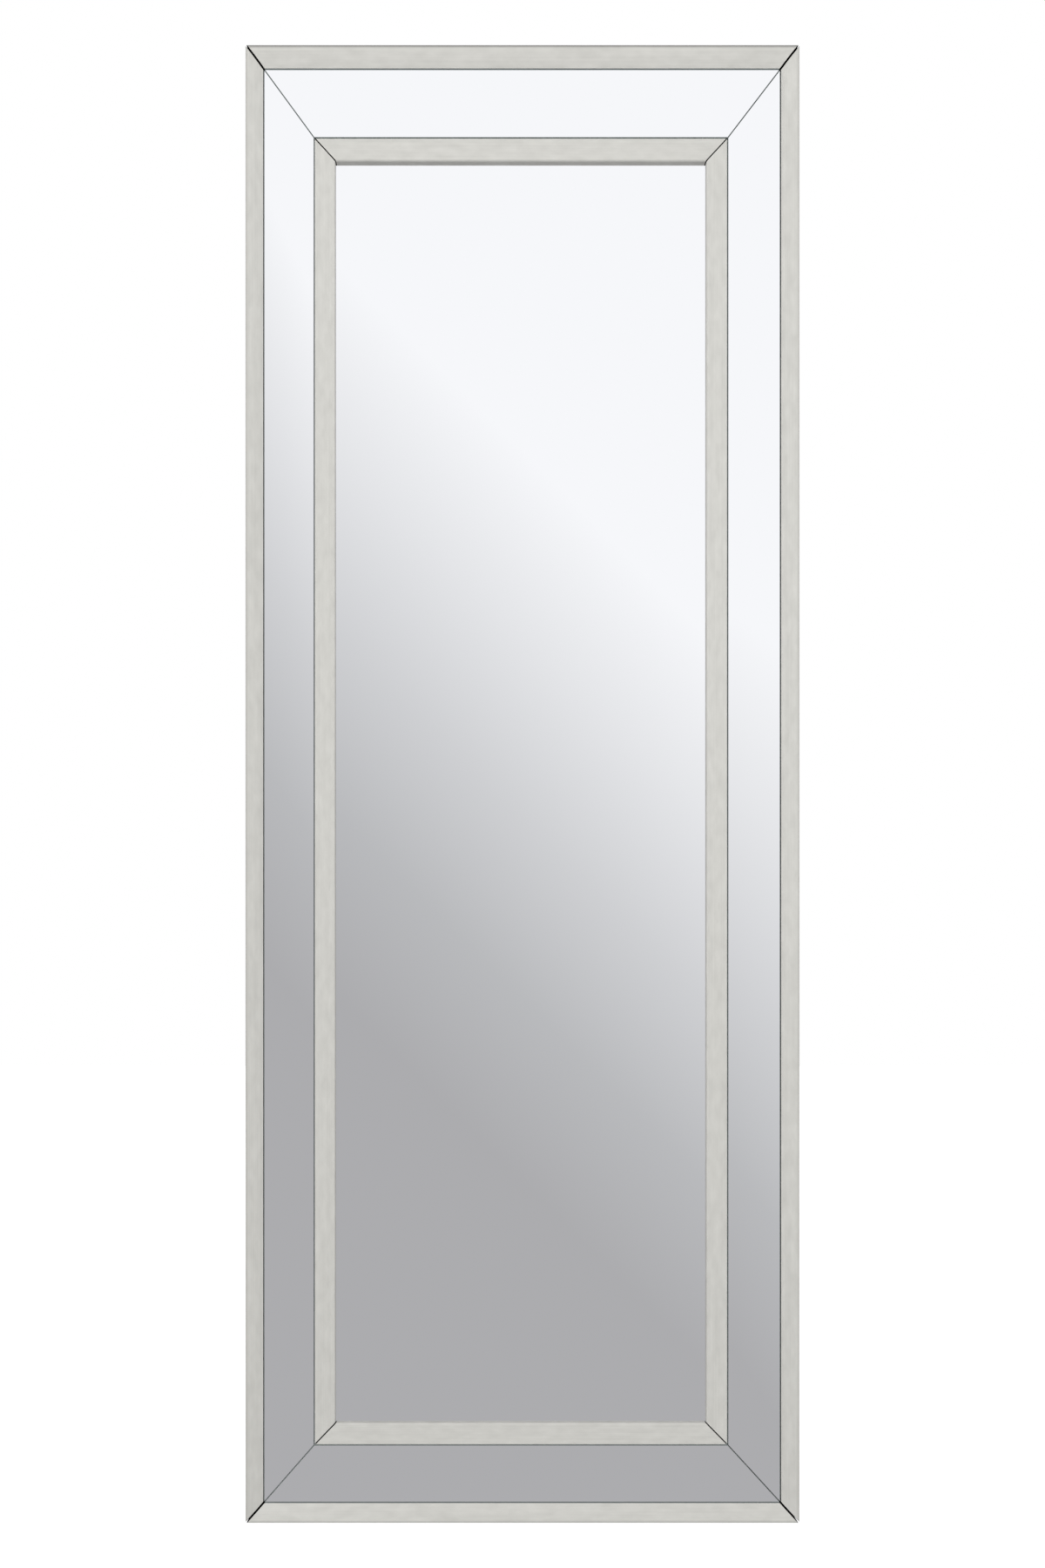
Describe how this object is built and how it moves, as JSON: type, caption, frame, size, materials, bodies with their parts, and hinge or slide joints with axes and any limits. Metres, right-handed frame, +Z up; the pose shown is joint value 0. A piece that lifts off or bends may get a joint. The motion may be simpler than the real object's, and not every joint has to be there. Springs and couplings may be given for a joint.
{
  "type": "full-length wall mirror",
  "caption": "Tall rectangular wall mirror with a mitred silver frame, a sloping mirrored border, an inner bead and two D ring hangers on its back.",
  "frame": {"origin": "middle of the wall plane that the four pads touch, level with the middle of the mirror's height and width", "axes": "+Z up along the mirror's height, +X to the right as seen from the front, +Y from the mirror back into the wall, so the glass faces -Y"},
  "size_m": [0.6, 0.0533, 1.6],
  "materials": {
    "silver_moulding": "wood moulding wrapped in brushed silver foil",
    "mirror_glass": "silvered float glass with ground edges",
    "batten_wood": "plain sawn softwood",
    "panel_board": "bare fibreboard",
    "foam_tape": "white foam tape",
    "pad_felt": "grey felt",
    "zinc_steel": "zinc plated steel"
  },
  "bodies": {
    "frame": {"outer_rail_top": "silver_moulding", "outer_rail_bottom": "silver_moulding", "outer_stile_left": "silver_moulding", "outer_stile_right": "silver_moulding", "strip_mirror_top": "mirror_glass", "strip_mirror_bottom": "mirror_glass", "strip_mirror_left": "mirror_glass", "strip_mirror_right": "mirror_glass", "bevel_batten_top": "batten_wood", "bevel_batten_bottom": "batten_wood", "bevel_batten_left": "batten_wood", "bevel_batten_right": "batten_wood", "inner_bead_top": "silver_moulding", "inner_bead_bottom": "silver_moulding", "inner_bead_left": "silver_moulding", "inner_bead_right": "silver_moulding", "centre_mirror": "mirror_glass", "mirror_tape": "foam_tape", "strip_tape": "foam_tape", "back_panel": "panel_board", "back_panel_screws": "zinc_steel", "v_nails": "zinc_steel", "hanger_strap_left": "zinc_steel", "hanger_strap_right": "zinc_steel", "hanger_screws": "zinc_steel", "wall_pads": "pad_felt"},
    "ring_left": {"hanger_ring_left": "zinc_steel"},
    "ring_right": {"hanger_ring_right": "zinc_steel"}
  },
  "joints": [
    {"name": "ring_left_swing", "type": "hinge", "parent": "frame", "child": "ring_left", "pos_m": [-0.25699, -0.00555, 0.48], "axis": [1, 0, 0], "range_deg": [0, 176]},
    {"name": "ring_right_swing", "type": "hinge", "parent": "frame", "child": "ring_right", "pos_m": [0.25699, -0.00555, 0.48], "axis": [1, 0, 0], "range_deg": [0, 176]}
  ]
}
